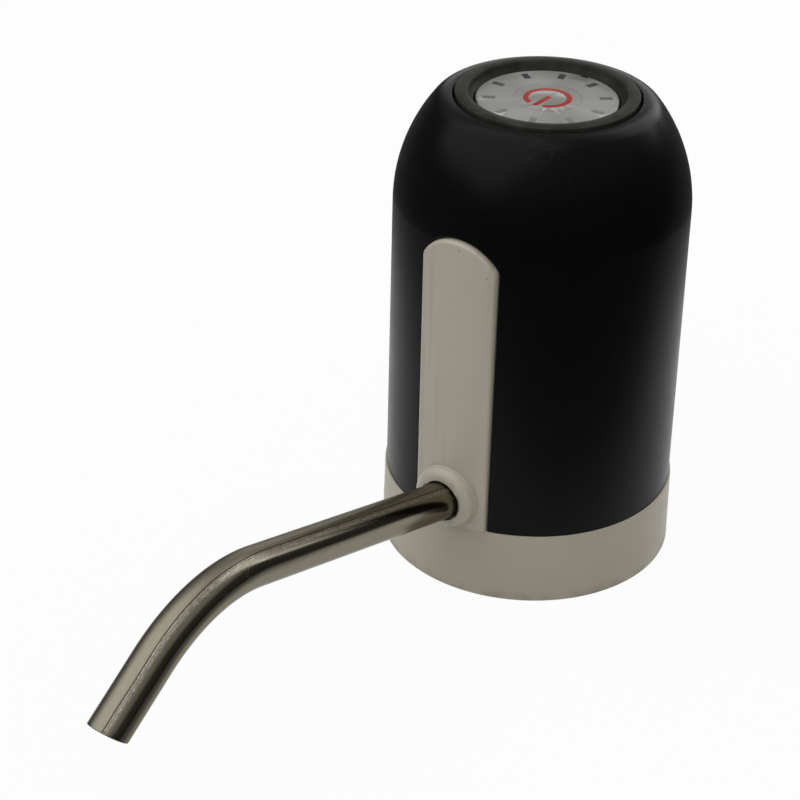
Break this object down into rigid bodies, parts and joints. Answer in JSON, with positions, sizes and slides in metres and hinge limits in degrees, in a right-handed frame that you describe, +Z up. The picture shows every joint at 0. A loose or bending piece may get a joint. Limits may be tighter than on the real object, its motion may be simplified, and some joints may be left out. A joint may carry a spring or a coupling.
{
  "type": "bottled water pump",
  "caption": "Rechargeable pump that sits on a large water bottle's neck, with a round push button on its domed top and a bent steel spout that swivels in its socket.",
  "frame": {"origin": "centre of the bottle-neck bore at its mouth, on the plane that the base stands on", "axes": "+Z up along the body's axis, -Y towards the spout, +X to the right seen from the spout's side"},
  "size_m": [0.075, 0.2022, 0.122],
  "materials": {
    "white_plastic": "satin moulded, slightly warm white",
    "black_plastic": "satin moulded black",
    "bezel_plastic": "fine matt black",
    "stainless": "drawn stainless tube with a weld line",
    "silver_disc": "silver-grey, glossy",
    "red_print": "red, glossy",
    "smoke_print": "smoke grey",
    "clear_plastic": "milky clear",
    "silicone": "translucent white silicone",
    "black_rubber": "matt",
    "steel": "zinc-plated",
    "pump_plastic": "natural acetal",
    "frame_plastic": "grey moulded",
    "board_green": "solder-masked glass fibre",
    "chip_black": "moulded",
    "brass": "bright",
    "magnet": "ferrite",
    "copper": "lacquered copper wire",
    "cell_wrap": "shrink sleeve"
  },
  "bodies": {
    "housing": {"base_ring": "white_plastic", "neck_seal": "silicone", "inlet_nozzle": "white_plastic", "inlet_gasket": "black_rubber", "upper_shell": "black_plastic", "front_strip": "white_plastic", "top_bezel": "bezel_plastic", "control_board": "board_green", "control_chips": "chip_black", "tact_switch": "chip_black", "status_leds": "clear_plastic", "board_screws": "steel", "deck_screws": "steel", "base_screws": "steel", "inner_frame": "frame_plastic", "battery_cell": "cell_wrap", "battery_strap": "black_rubber", "battery_tabs": "steel", "pump_body": "pump_plastic", "pump_cover": "pump_plastic", "pump_screws": "steel", "idler_pin": "steel", "shaft_seal": "black_rubber", "delivery_tube": "silicone", "motor_can": "steel", "motor_bushes": "brass", "motor_end_cap": "frame_plastic", "motor_terminals": "brass", "motor_magnets": "magnet", "charge_board": "board_green", "usb_socket": "steel", "usb_tongue": "chip_black", "charge_chips": "chip_black", "charge_lamp": "clear_plastic"},
    "button": {"button_cap": "silver_disc", "power_symbol": "red_print", "dial_marks": "smoke_print", "light_guide": "clear_plastic", "switch_plunger": "white_plastic"},
    "spout_sleeve": {"spout_seal": "silicone"},
    "spout": {"spout_tube": "stainless"},
    "rotor": {"drive_gear": "white_plastic", "motor_armature": "steel", "armature_windings": "copper", "commutator": "copper", "motor_shaft": "steel"},
    "idler": {"idler_gear": "white_plastic"}
  },
  "joints": [
    {"name": "button_press", "type": "slide", "parent": "housing", "child": "button", "axis": [0, 0, -1], "range_m": [0, 0.0006], "stiffness_N_per_m": 1500, "springref_m": -0.0002},
    {"name": "spout_pull", "type": "slide", "parent": "housing", "child": "spout_sleeve", "axis": [0, -0.9617, 0.274], "range_m": [0, 0.012]},
    {"name": "spout_swivel", "type": "hinge", "parent": "spout_sleeve", "child": "spout", "pos_m": [0, -0.036, 0.02549], "axis": [0, -0.9617, 0.274], "continuous": true},
    {"name": "rotor_spin", "type": "hinge", "parent": "housing", "child": "rotor", "pos_m": [-0.006, -0.006, 0.03], "axis": [0, 0, 1], "continuous": true},
    {"name": "idler_spin", "type": "hinge", "parent": "housing", "child": "idler", "pos_m": [0.006, -0.006, 0.021], "axis": [0, 0, 1], "continuous": true}
  ],
  "couplings": [
    {"joint": "idler_spin", "follows": "rotor_spin", "ratio": -1}
  ]
}
